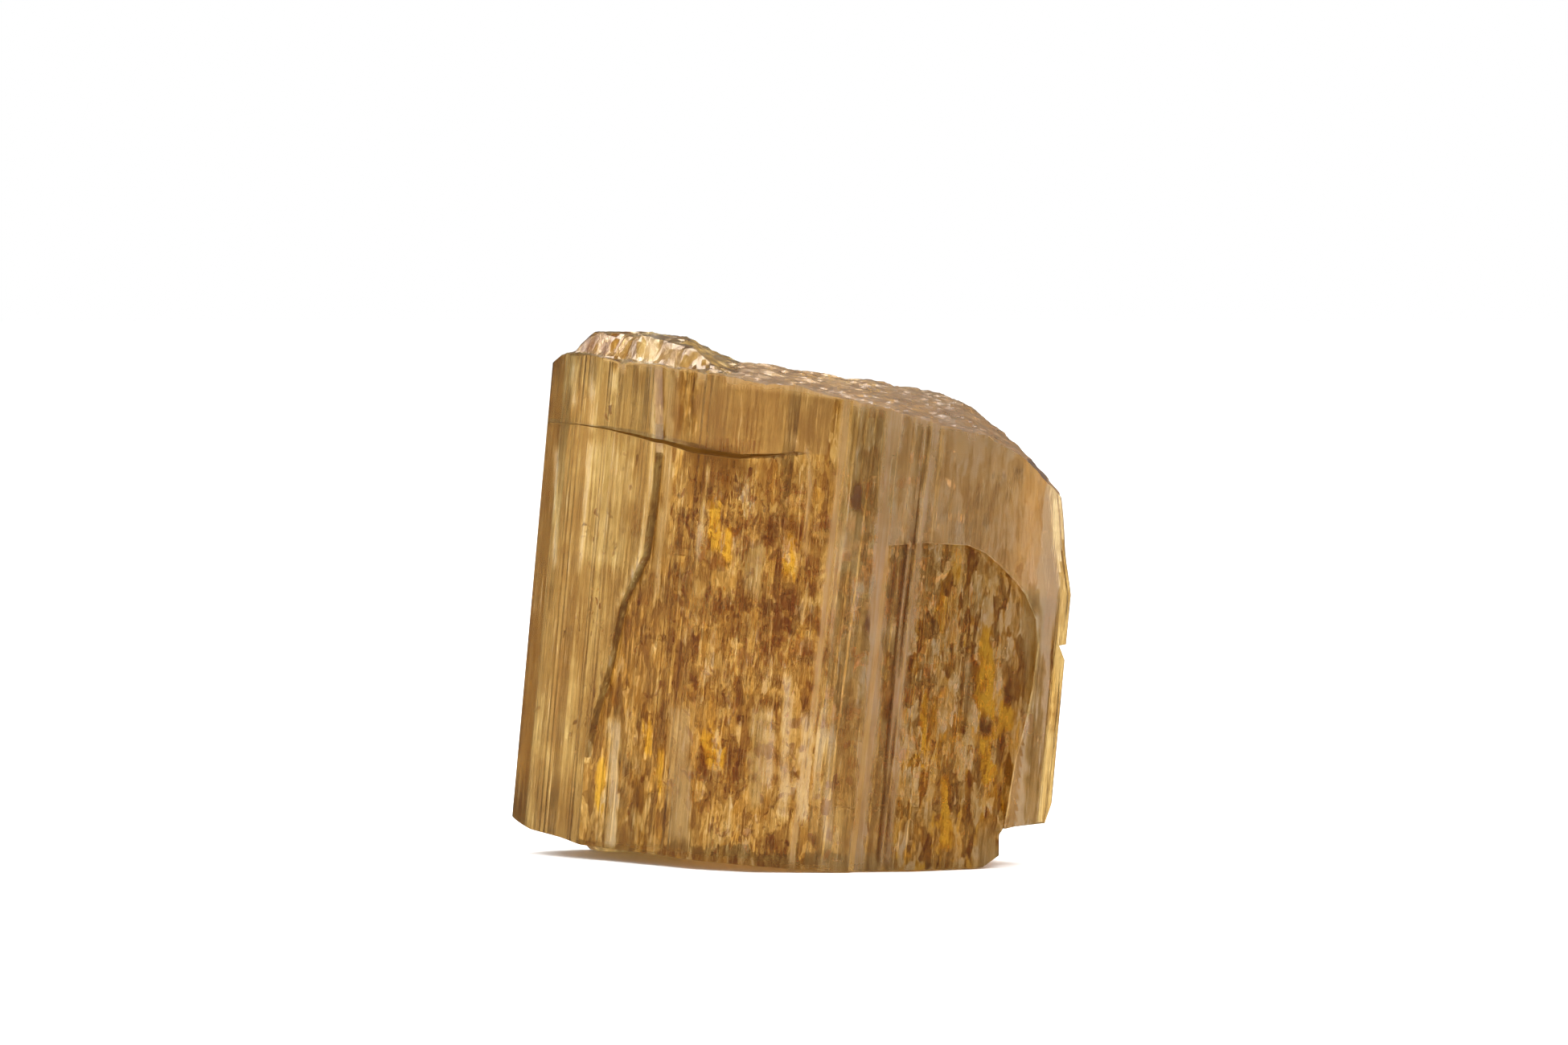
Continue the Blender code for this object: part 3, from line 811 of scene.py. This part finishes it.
# Where one finish gives way to the next
finishEdges = {
    "steep": 0.35,           # upward part of the direction of a face that belongs to a break
    "crackHalf": 0.3,        # height each side of the crack
    "lumpFoot": 0.12,        # above the front line of the broken top
    "lumpRight": (-3.5, -3.0),
    "lumpLeft": -6.5,
    "core": 0.45,
    "rightLayer": 1.7,
    "recess": 2.8,
    "rightRim": 6.9,
    "rightEdge": 7.6,
    "topEdgeHighlight": (-7.3, 4.6),
    "topEdgeWidth": 0.07,
}


def insideOutline(outline, u, w):
    inside = False
    for (u0, w0), (u1, w1) in zip(outline, outline[1:] + outline[:1]):
        if (w0 > w) != (w1 > w) and u < u0 + (u1 - u0) * (w - w0) / (w1 - w0):
            inside = not inside
    return inside


def finishAt(u, w, normal):
    # the finish of a face by its place and by the direction that it looks in
    edges = finishEdges
    breakEnd, frontEnd = edges["lumpRight"]
    if w > interpolate(topBreak["front"], u) + edges["lumpFoot"] and u < frontEnd:
        return finishesAndPaintedLight["lump" if u > edges["lumpLeft"] else "lumpLeft"]
    if abs(normal.z) > edges["steep"]:
        # painted shade on the walls of the open crack
        if abs(w - interpolate(crack["path"], u)) < edges["crackHalf"]:
            return finishesAndPaintedLight["crackShade"]
        return finishesAndPaintedLight["lump" if u < breakEnd else "bevel"]
    if normal.y > 0.0:
        return finishesAndPaintedLight["back"]
    if u < interpolate(layers["left"]["riser"], w):
        return finishesAndPaintedLight["leftLayer"]
    if u > edges["rightLayer"]:
        if insideOutline(layers["right"]["arch"] + ((edges["rightLayer"], core["foot"]),), u, w):
            return finishesAndPaintedLight["recess" if u > edges["recess"] else "middle"]
        if u > edges["rightEdge"]:
            return finishesAndPaintedLight["rightEdge"]
        return finishesAndPaintedLight["rightRim" if u > edges["rightRim"] else "rightLayer"]
    if w > interpolate(crack["path"], u) and u < 0.0:
        return finishesAndPaintedLight["block"]
    return finishesAndPaintedLight["middle" if u > edges["core"] else "core"]


def marked(finish, u, w):
    # the finish at a place on the front faces, with the marks laid over it
    across, along = markFade["across"], markFade["along"]
    uneven = 1.0 + wanders(markFade["waves"], u, w)
    for places, half, name in marks:
        foot, head = places[0][0], places[-1][0]
        if w < foot - along or w > head + along:
            continue
        off = abs(u - interpolate(places, w)) - half * uneven
        if off > across:
            continue
        share = 1.0 - smoothBetween(-markFade["overlap"] * across, across, off)
        share *= smoothBetween(foot - along, foot, w)
        share *= 1.0 - smoothBetween(head, head + along, w)
        finish = tuple(base + (laid - base) * share for base, laid in zip(finish, finishesAndPaintedLight[name]))
    return finish


def onTopEdge(u, v, w):
    left, right = finishEdges["topEdgeHighlight"]
    return left < u < right and topHeight(u, v) - w < finishEdges["topEdgeWidth"]


def paintZones(bm):
    # keeps the finish at each corner of each face, for the material to read
    zones = bm.loops.layers.float_color.new("zones")
    lumps = (finishesAndPaintedLight["lump"], finishesAndPaintedLight["lumpLeft"])
    for face in bm.faces:
        middle = face.calc_center_median()
        finish = finishAt(middle.x, middle.z, face.normal)
        isLump = finish in lumps
        isFront = face.normal.y < 0.0 and (isLump or abs(face.normal.z) <= finishEdges["steep"])
        for loop in face.loops:
            u, v, w = loop.vert.co
            # a painted highlight along the top front edge
            if isFront and not isLump and onTopEdge(u, v, w):
                loop[zones] = finishesAndPaintedLight["topEdgeHighlight"]
            else:
                loop[zones] = marked(finish, u, w) if isFront else finish


# Old breaks inside the crystal: thin gaps that catch the light, in zones. A tipped gap throws the
# light from above out through the side it faces: 0 is the front, and 90 the right.
fractureZones = (
    # middle, spread, count, half lengths, share tipped, facing
    ((-2.0, -2.4, 10.8), (1.8, 1.2, 1.3), 520, (0.07, 0.60), 0.50, 0),
    ((-1.6, -2.6, 7.6), (2.8, 1.4, 2.4), 600, (0.07, 0.65), 0.45, 0),
    ((-1.0, -3.0, 3.0), (3.4, 1.2, 2.0), 560, (0.07, 0.60), 0.50, 0),
    ((4.9, -2.4, 4.8), (1.5, 1.0, 2.6), 360, (0.06, 0.45), 0.50, 15),
    ((2.4, -2.4, 8.6), (1.8, 1.6, 3.6), 340, (0.06, 0.45), 0.45, 10),
    ((-6.6, 0.6, 7.5), (1.2, 1.2, 4.4), 160, (0.05, 0.30), 0.50, -40),
    ((0.0, 2.0, 7.5), (4.6, 1.8, 4.2), 600, (0.08, 0.60), 0.50, 180),
    # close clusters that show as glints
    ((-3.1, -2.8, 10.5), (0.34, 0.40, 0.70), 30, (0.10, 0.45), 1.0, 0),
    ((-0.9, -4.0, 9.9), (0.20, 0.25, 0.40), 14, (0.08, 0.35), 1.0, 0),
    ((-2.6, -3.3, 3.5), (0.36, 0.30, 0.30), 24, (0.06, 0.30), 1.0, 0),
    ((-5.1, -0.9, 2.4), (0.50, 0.40, 1.50), 40, (0.06, 0.30), 1.0, -25),
    ((5.6, -3.0, 6.4), (0.20, 0.30, 1.00), 26, (0.06, 0.32), 1.0, 15),
    ((5.8, -3.0, 4.1), (0.20, 0.30, 0.50), 16, (0.06, 0.26), 1.0, 15),
    ((4.7, -3.5, 2.2), (0.20, 0.30, 0.80), 16, (0.05, 0.24), 1.0, 15),
    ((3.7, -3.9, 5.0), (0.20, 0.30, 1.00), 16, (0.05, 0.26), 1.0, 15),
    ((-0.9, -4.3, 1.0), (0.50, 0.30, 0.40), 30, (0.04, 0.22), 1.0, 0),
)
fracture = {
    "seed": 5,
    "narrow": (0.13, 0.38),      # width as a share of length
    "thin": 0.08,                # thickness as a share of width
    "thinnest": 0.004,
    "clear": 0.04,               # distance kept from the surface
    "apart": 0.05,               # and from the next fracture
    "cell": 0.5,                 # size of the boxes that neighbours are looked up in
    "spread": 0.6,
    "smallness": 2.0,            # above 1 makes the small ones commoner
    "tip": (39.0, 8.0),
    "upright": (90.0, 14.0),
    "swing": 24.0,
    "aim": 9.0,
    "spin": 0.25,
    "clump": 1.1,
    "clumping": 0.10,
    "corners": (4, 7),
    "cornerJitter": 0.25,
    "cornerReach": (0.6, 1.0),
    "triesEach": 12,
    "batch": 40,                 # a mesh this small is still quick to add to
}


def settleGaps(bm, batch):
    # joins finished gaps to the crystal, with their faces turned to the hollow inside them
    bmesh.ops.recalc_face_normals(batch, faces=batch.faces)
    bmesh.ops.reverse_faces(batch, faces=batch.faces)
    zones = batch.loops.layers.float_color.new("zones")
    for face in batch.faces:
        for loop in face.loops:
            loop[zones] = finishesAndPaintedLight["fracture"]
    mesh = bpy.data.meshes.new("gaps")
    batch.to_mesh(mesh)
    batch.free()
    bm.from_mesh(mesh)
    bpy.data.meshes.remove(mesh)
    return bmesh.new()


def isInside(tree, place):
    # the first wall above a place inside the crystal faces upwards
    wall, outward, _, _ = tree.ray_cast(place, Vector((0.0, 0.0, 1.0)))
    return wall is not None and outward.z > 0.0


def gapTurn(rng, tipped, facing):
    if rng.random() < tipped:
        tip = rng.gauss(*fracture["tip"])
        bearing = facing + rng.gauss(0.0, fracture["swing"] if tipped < 1.0 else fracture["aim"])
    else:
        tip = rng.gauss(*fracture["upright"])
        bearing = rng.uniform(0.0, 360.0)
    turn = Matrix.Rotation(math.radians(bearing), 3, "Z") @ Matrix.Rotation(math.radians(tip), 3, "X")
    return turn @ Matrix.Rotation(rng.gauss(0.0, fracture["spin"]), 3, "Z")


def gapOutline(rng, wide, long):
    corners = rng.randint(*fracture["corners"])
    jitter = fracture["cornerJitter"]
    outline = []
    for corner in range(corners):
        angle = 2.0 * math.pi * (corner + rng.uniform(-jitter, jitter)) / corners
        out = rng.uniform(*fracture["cornerReach"])
        outline.append(Vector((wide * out * math.cos(angle), long * out * math.sin(angle), 0.0)))
    return outline


def straddles(points, centre, normal):
    reach = [(point - centre).dot(normal) for point in points]
    return min(reach) < fracture["apart"] and max(reach) > -fracture["apart"]


def cellsBeside(near, key):
    steps = (-1, 0, 1)
    for du in steps:
        for dv in steps:
            for dw in steps:
                yield from near.get((key[0] + du, key[1] + dv, key[2] + dw), ())


def crosses(gap, other):
    centre, size, normal, points = gap
    otherCentre, otherSize, otherNormal, otherPoints = other
    return ((centre - otherCentre).length < size + otherSize
            and straddles(points, otherCentre, otherNormal)
            and straddles(otherPoints, centre, normal))


def addGap(gaps, gap, half):
    # a thin lens, pointed above and below its outline
    centre, _, normal, points = gap
    lens = bmesh.ops.create_uvsphere(gaps, u_segments=len(points), v_segments=2, radius=1.0)["verts"]
    poles = [vert for vert in lens if abs(vert.co.z) > 0.5]
    rim = sorted((vert for vert in lens if abs(vert.co.z) <= 0.5),
                 key=lambda vert: math.atan2(vert.co.y, vert.co.x) % (2.0 * math.pi))
    for vert in poles:
        vert.co = centre + normal * math.copysign(half, vert.co.z)
    for vert, point in zip(rim, points):
        vert.co = point


def addFractures(bm):
    rng = random.Random(fracture["seed"])
    tree = BVHTree.FromBMesh(bm)
    gaps = bmesh.new()
    near = {}
    count = 0
    for zoneMiddle, zoneSpread, zoneCount, (low, high), tipped, facing in fractureZones:
        made = 0
        for _ in range(zoneCount * fracture["triesEach"]):
            if made == zoneCount:
                break
            centre = Vector(
                rng.gauss(middle, spread * fracture["spread"])
                for middle, spread in zip(zoneMiddle, zoneSpread))
            size = low + (high - low) * rng.random() ** fracture["smallness"]
            if tipped < 1.0:
                clumped = noise.noise(centre / fracture["clump"])
                if clumped < rng.gauss(0.0, fracture["clumping"]):
                    continue
            if not isInside(tree, centre) or tree.find_nearest(centre)[3] < size + fracture["clear"]:
                continue
            turn = gapTurn(rng, tipped, facing)
            wide = size * rng.uniform(*fracture["narrow"])
            points = [centre + turn @ point for point in gapOutline(rng, wide, size)]
            gap = (centre, size, turn @ Vector((0.0, 0.0, 1.0)), points)
            key = tuple(int(part // fracture["cell"]) for part in centre)
            if any(crosses(gap, other) for other in cellsBeside(near, key)):
                continue
            near.setdefault(key, []).append(gap)
            made += 1
            addGap(gaps, gap, max(wide * fracture["thin"], fracture["thinnest"]))
            rng.random()    # nothing reads this draw, but it holds the next fractures in their places
            if made % fracture["batch"] == 0:
                gaps = settleGaps(bm, gaps)
        count += made
    settleGaps(bm, gaps).free()
    return count


def growCrystal():
    crystal = striatedPrism("crystal", core["sides"], core["seed"])
    for grown in (
        growthLayer("left", leftKeep()),
        growthLayer("right", rightKeep()),
        growthLayer("back", backKeep()),
    ):
        useTool(crystal, grown, "UNION")
    bake(crystal)
    print("crystal: prism and growth layers", len(crystal.data.polygons))
    return crystal


def breakCrystal(crystal):
    clearance = reach["clearance"]
    for tool in (
        breakBlock("topRock", topHeight, core["head"] + clearance, topBreak["cell"]),
        breakBlock("baseRock", baseHeight, core["foot"] - clearance, baseBreak["cell"]),
        profileBlock("ledgeRock", ledge["profile"], reach["front"], ledge["backV"]),
        profileBlock("nickRock", nick["profile"], reach["front"], reach["middle"]),
        crackWedge(),
    ):
        useTool(crystal, tool, "DIFFERENCE")
    bake(crystal)
    print("crystal: broken to shape", len(crystal.data.polygons))


def standCrystal(bm):
    # leans the crystal, moves it to its place and wears its feet flat where they stand
    bm.transform(placeMatrix())
    everything = bm.verts[:] + bm.edges[:] + bm.faces[:]
    cut = bmesh.ops.bisect_plane(
        bm, geom=everything, plane_co=(0.0, 0.0, 0.0), plane_no=(0.0, 0.0, -1.0), clear_outer=True)
    rim = [part for part in cut["geom_cut"] if isinstance(part, bmesh.types.BMEdge)]
    bmesh.ops.holes_fill(bm, edges=rim, sides=0)
    bmesh.ops.triangulate(bm, faces=[face for face in bm.faces if len(face.verts) > 4])


def buildCrystal():
    crystal = growCrystal()
    breakCrystal(crystal)
    bm = bmesh.new()
    bm.from_mesh(crystal.data)
    paintZones(bm)
    print("crystal: fractures", addFractures(bm))
    standCrystal(bm)
    bm.to_mesh(crystal.data)
    bm.free()
    crystal.data.shade_smooth()
    crystal.data.set_sharp_from_angle(angle=placing["sharpFrom"])
    crystal.data.materials.clear()
    crystal.data.materials.append(topazMaterial())
    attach(crystal, "root")
    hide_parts("topaz_crystal")
    print("crystal: finished", len(crystal.data.polygons))


studio = {
    "cameraPlace": (-0.175, -304.816, 26.078),    # before the stand shift, in millimetres
    "lookDown": math.radians(2.9),
    "sensor": 36.0,
    "lens": 221.54,
    "nearest": 0.01,
    "floorSize": 1.15,
    "floorDrop": 0.00005,   # a hair under the crystal, so that the two never share a plane
    "floorColor": (0.93, 0.93, 0.93, 1.0),
    "floorRoughness": 0.9,
    "roomColor": (1.0, 1.0, 1.0, 1.0),
    "backdrop": 1.0,        # what is seen directly and through the crystal
    "room": 0.15,           # what the surfaces reflect before the crystal, besides the soft boxes
    "roomBehind": 0.14,     # and behind it, where the broken top mirrors it at a low angle
    "behindFrom": 0.6,      # how far back a direction points when it is wholly behind
    "boxesAim": (0.0, 0.0, 0.008),
    "bounces": 24,
    "diffuseBounces": 4,
}
# Soft boxes: bearing round the crystal and height above it in degrees, distance and size in metres,
# and brightness beside the backdrop
softBoxes = {
    "overhead": {"bearing": 90.0, "height": 70.0, "distance": 0.30, "size": (0.22, 0.22), "glow": 5.5},
    "highFront": {"bearing": -70.0, "height": 42.0, "distance": 0.34, "size": (0.16, 0.12), "glow": 8.0},
    "highLeft": {"bearing": 175.0, "height": 45.0, "distance": 0.32, "size": (0.14, 0.14), "glow": 9.0},
    "highRight": {"bearing": 8.0, "height": 45.0, "distance": 0.32, "size": (0.14, 0.14), "glow": 9.0},
    "backLeft": {"bearing": 140.0, "height": 20.0, "distance": 0.32, "size": (0.12, 0.10), "glow": 3.0},
    "backRight": {"bearing": 35.0, "height": 20.0, "distance": 0.32, "size": (0.12, 0.10), "glow": 3.0},
    "keyRight": {"bearing": -56.0, "height": 10.0, "distance": 0.30, "size": (0.10, 0.10), "glow": 1.6},
}


def aimCamera():
    camera = bpy.data.objects.new("camera", bpy.data.cameras.new("camera"))
    camera.data.sensor_width = studio["sensor"]
    camera.data.lens = studio["lens"]
    camera.data.clip_start = studio["nearest"]
    camera.location = (Vector(studio["cameraPlace"]) + Vector(placing["standShift"])) * placing["metres"]
    camera.rotation_euler = (math.radians(90.0) - studio["lookDown"], 0.0, 0.0)
    bpy.context.scene.collection.objects.link(camera)
    bpy.context.scene.camera = camera


def lightRoom():
    # a pale room, which the surfaces mirror more dimly than it is seen
    world = bpy.data.worlds.new("studioWorld")
    bpy.context.scene.world = world
    world.use_nodes = True
    nodes = world.node_tree.nodes
    links = world.node_tree.links
    paths = nodes.new("ShaderNodeLightPath")
    mirrored = nodes.new("ShaderNodeMath")        # gloss on a surface, and not light that came through it
    mirrored.operation = "SUBTRACT"
    mirrored.use_clamp = True
    links.new(paths.outputs["Is Glossy Ray"], mirrored.inputs[0])
    links.new(paths.outputs["Is Transmission Ray"], mirrored.inputs[1])
    toward = nodes.new("ShaderNodeTexCoord")
    parts = nodes.new("ShaderNodeSeparateXYZ")
    links.new(toward.outputs["Generated"], parts.inputs["Vector"])
    room = nodes.new("ShaderNodeMapRange")
    room.inputs["From Max"].default_value = studio["behindFrom"]
    room.inputs["To Min"].default_value = studio["room"]
    room.inputs["To Max"].default_value = studio["roomBehind"]
    links.new(parts.outputs["Y"], room.inputs["Value"])
    level = nodes.new("ShaderNodeMapRange")
    level.inputs["To Min"].default_value = studio["backdrop"]
    links.new(room.outputs["Result"], level.inputs["To Max"])
    links.new(mirrored.outputs["Value"], level.inputs["Value"])
    links.new(level.outputs["Result"], nodes["Background"].inputs["Strength"])
    nodes["Background"].inputs["Color"].default_value = studio["roomColor"]


def placeSoftBoxes():
    for name, box in softBoxes.items():
        bearing = math.radians(box["bearing"])
        height = math.radians(box["height"])
        level = math.cos(height)
        toward = Vector((math.cos(bearing) * level, math.sin(bearing) * level, math.sin(height)))
        data = bpy.data.lights.new(name, "AREA")
        data.shape = "RECTANGLE"
        data.size, data.size_y = box["size"]
        data.energy = box["glow"] * math.pi * data.size * data.size_y    # watts for that brightness
        lamp = bpy.data.objects.new(name, data)
        lamp.location = Vector(studio["boxesAim"]) + toward * box["distance"]
        lamp.rotation_euler = (-toward).to_track_quat("-Z", "Y").to_euler()
        bpy.context.scene.collection.objects.link(lamp)


def layFloor():
    bm = bmesh.new()
    bmesh.ops.create_grid(bm, x_segments=1, y_segments=1, size=studio["floorSize"] * 0.5)
    bmesh.ops.translate(bm, verts=bm.verts, vec=(0.0, 0.0, -studio["floorDrop"]))
    floor = newObject("floor", bm)
    paint = bpy.data.materials.new("paleFloor")
    paint.use_nodes = True
    shader = paint.node_tree.nodes["Principled BSDF"]
    shader.inputs["Base Color"].default_value = studio["floorColor"]
    shader.inputs["Roughness"].default_value = studio["floorRoughness"]
    shader.inputs["Specular IOR Level"].default_value = 0.0    # mirrors nothing at a low angle
    floor.data.materials.append(paint)
    floor.visible_glossy = False    # the faces mirror the room and not the bright floor


def buildStudio():
    aimCamera()
    lightRoom()
    placeSoftBoxes()
    layFloor()
    scene = bpy.context.scene
    scene.view_settings.view_transform = "Standard"
    scene.cycles.max_bounces = studio["bounces"]
    scene.cycles.transmission_bounces = studio["bounces"]
    scene.cycles.glossy_bounces = studio["bounces"]
    scene.cycles.diffuse_bounces = studio["diffuseBounces"]
    scene.cycles.use_denoising = True
    print("studio ready")


buildCrystal()
buildStudio()
